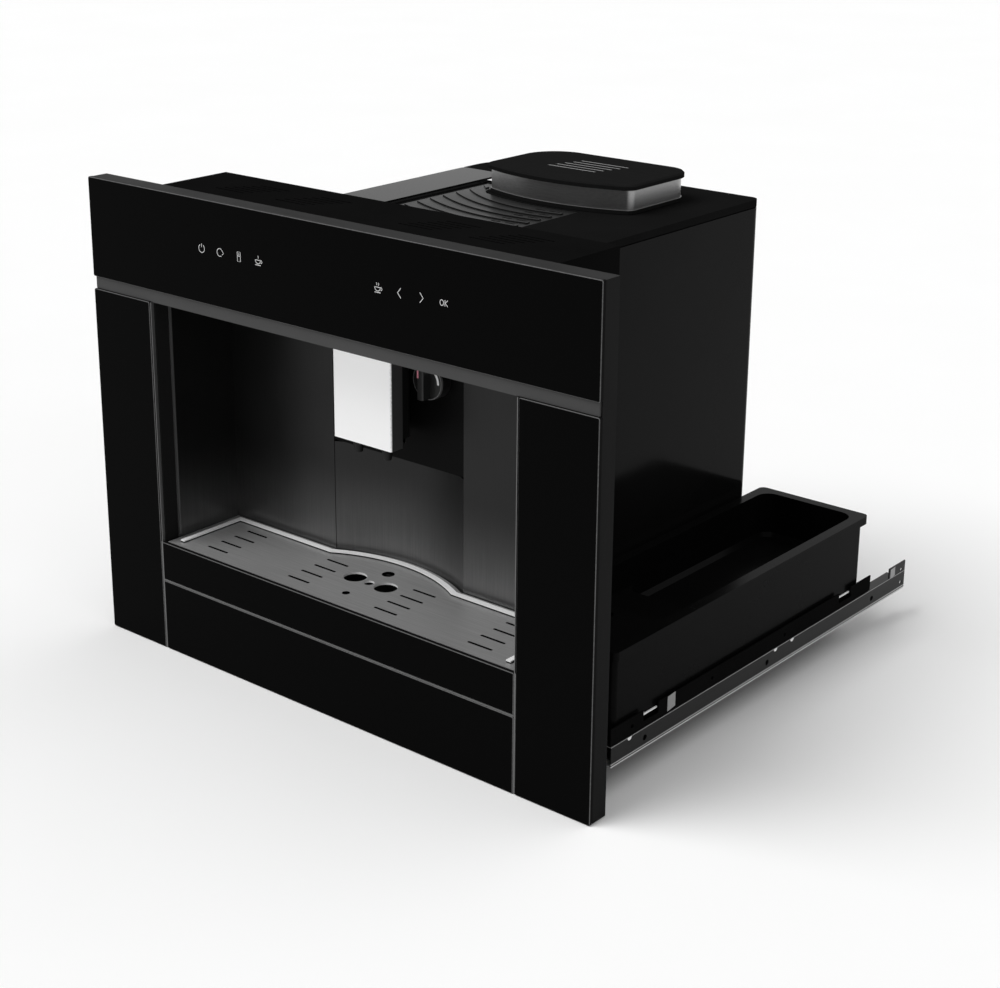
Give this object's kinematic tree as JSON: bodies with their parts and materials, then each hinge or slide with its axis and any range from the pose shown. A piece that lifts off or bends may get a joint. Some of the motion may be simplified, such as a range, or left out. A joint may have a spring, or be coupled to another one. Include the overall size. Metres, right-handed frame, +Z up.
{
  "type": "built-in coffee machine",
  "caption": "Built-in coffee machine on telescopic rails: black glass front with a niche, height-adjustable spout, drip drawer, side tank, bean hopper and two side trays.",
  "frame": {"origin": "bottom centre of the bounding box, under the middle of the closed machine", "axes": "+X to the right seen from the front, -Y towards the user, +Z up"},
  "size_m": [0.595, 0.548, 0.455],
  "materials": {
    "band_grey": "satin",
    "black_glass": "polished, opaque backed",
    "black_plastic": "matte",
    "brass": "machined",
    "bright_trim": "bright satin",
    "brushed_steel": "brushed",
    "cast_alloy": "cast",
    "chrome": "polished",
    "circuit_board": "matte",
    "dark_satin": "satin",
    "gloss_black": "high gloss",
    "grey_steel": "satin",
    "knob_black": "satin gloss",
    "motor_can": "satin",
    "polished_steel": "polished",
    "rail_steel": "zinc plated",
    "silicone_hose": "matte",
    "smoked_plastic": "smoked",
    "tank_plastic": "gloss",
    "tray_plastic": "gloss",
    "white_plastic": "matte",
    "zinc_sheet": "satin black"
  },
  "bodies": {
    "cabinet_rails": {"rail_cabinet_right": "rail_steel", "rail_cabinet_left": "rail_steel"},
    "rail_middle_pair": {"rail_middles": "rail_steel", "ball_cages": "rail_steel"},
    "machine": {"front_frame": "grey_steel", "fascia_glass": "black_glass", "column_glass_right": "black_glass", "column_glass_left": "black_glass", "lower_panel_glass": "black_glass", "front_band": "band_grey", "metal_trims": "bright_trim", "display_board": "circuit_board", "front_box": "zinc_sheet", "niche_liner": "dark_satin", "brew_front_panel": "dark_satin", "spout_guide": "polished_steel", "steam_valve": "brass", "side_panel_right": "gloss_black", "side_panel_left": "gloss_black", "rear_panel": "zinc_sheet", "base_plate": "zinc_sheet", "cup_shelf": "brushed_steel", "deck": "gloss_black", "tank_dock": "black_plastic", "bean_hopper": "smoked_plastic", "grinder_housing": "black_plastic", "ring_burr": "polished_steel", "grinder_motor": "motor_can", "grounds_chute": "black_plastic", "brew_frame": "black_plastic", "brew_chamber": "white_plastic", "boiler": "cast_alloy", "pump": "motor_can", "pump_cradle": "zinc_sheet", "water_hoses": "silicone_hose", "power_board": "circuit_board", "power_inlet": "black_plastic", "rail_inners": "rail_steel", "carrier_right": "zinc_sheet", "carrier_left": "zinc_sheet", "panel_screws": "polished_steel"},
    "drip_drawer": {"drip_front_glass": "black_glass", "drip_tub": "black_plastic", "drip_grille": "brushed_steel", "grounds_container": "dark_satin"},
    "spout": {"spout_cover": "brushed_steel", "spout_core": "black_plastic", "spout_nozzles": "black_plastic"},
    "knob": {"steam_knob": "knob_black"},
    "tank": {"water_tank": "tank_plastic", "tank_rod": "black_plastic", "tank_valve": "white_plastic"},
    "tank_cover": {"tank_lid": "gloss_black", "lid_clips": "chrome"},
    "bean_lid": {"hopper_lid": "gloss_black"},
    "tray_right": {"side_tray_right": "tray_plastic"},
    "tray_left": {"side_tray_left": "tray_plastic"},
    "burr": {"grinder_burr": "polished_steel"},
    "piston": {"brew_piston": "white_plastic"}
  },
  "joints": [
    {"name": "machine_slide", "type": "slide", "parent": "cabinet_rails", "child": "machine", "axis": [0, -1, 0], "range_m": [0, 0.38]},
    {"name": "rail_middle_slide", "type": "slide", "parent": "cabinet_rails", "child": "rail_middle_pair", "axis": [0, -1, 0], "range_m": [0, 0.19]},
    {"name": "drawer_slide", "type": "slide", "parent": "machine", "child": "drip_drawer", "axis": [0, -1, 0], "range_m": [0, 0.27]},
    {"name": "spout_height", "type": "slide", "parent": "machine", "child": "spout", "axis": [0, 0, 1], "range_m": [-0.045, 0]},
    {"name": "knob_turn", "type": "hinge", "parent": "machine", "child": "knob", "pos_m": [0.048, -0.184, 0.306], "axis": [0, 1, 0], "range_deg": [0, 90]},
    {"name": "tank_lift", "type": "slide", "parent": "machine", "child": "tank", "axis": [0, 0, 1], "range_m": [0, 0.21]},
    {"name": "tank_lid_hinge", "type": "hinge", "parent": "tank", "child": "tank_cover", "pos_m": [-0.095, -0.029, 0.42], "axis": [0, 1, 0], "range_deg": [0, 95]},
    {"name": "bean_lid_lift", "type": "slide", "parent": "machine", "child": "bean_lid", "axis": [0, 0, 1], "range_m": [0, 0.06]},
    {"name": "tray_right_lift", "type": "slide", "parent": "machine", "child": "tray_right", "axis": [0, 0, 1], "range_m": [0, 0.09]},
    {"name": "tray_left_lift", "type": "slide", "parent": "machine", "child": "tray_left", "axis": [0, 0, 1], "range_m": [0, 0.09]},
    {"name": "burr_turn", "type": "hinge", "parent": "machine", "child": "burr", "pos_m": [0.024, 0.071, 0.3], "axis": [0, 0, 1], "continuous": true},
    {"name": "piston_stroke", "type": "slide", "parent": "machine", "child": "piston", "axis": [0, 0, 1], "range_m": [-0.035, 0]}
  ],
  "couplings": [
    {"joint": "rail_middle_slide", "follows": "machine_slide", "ratio": 0.5}
  ]
}
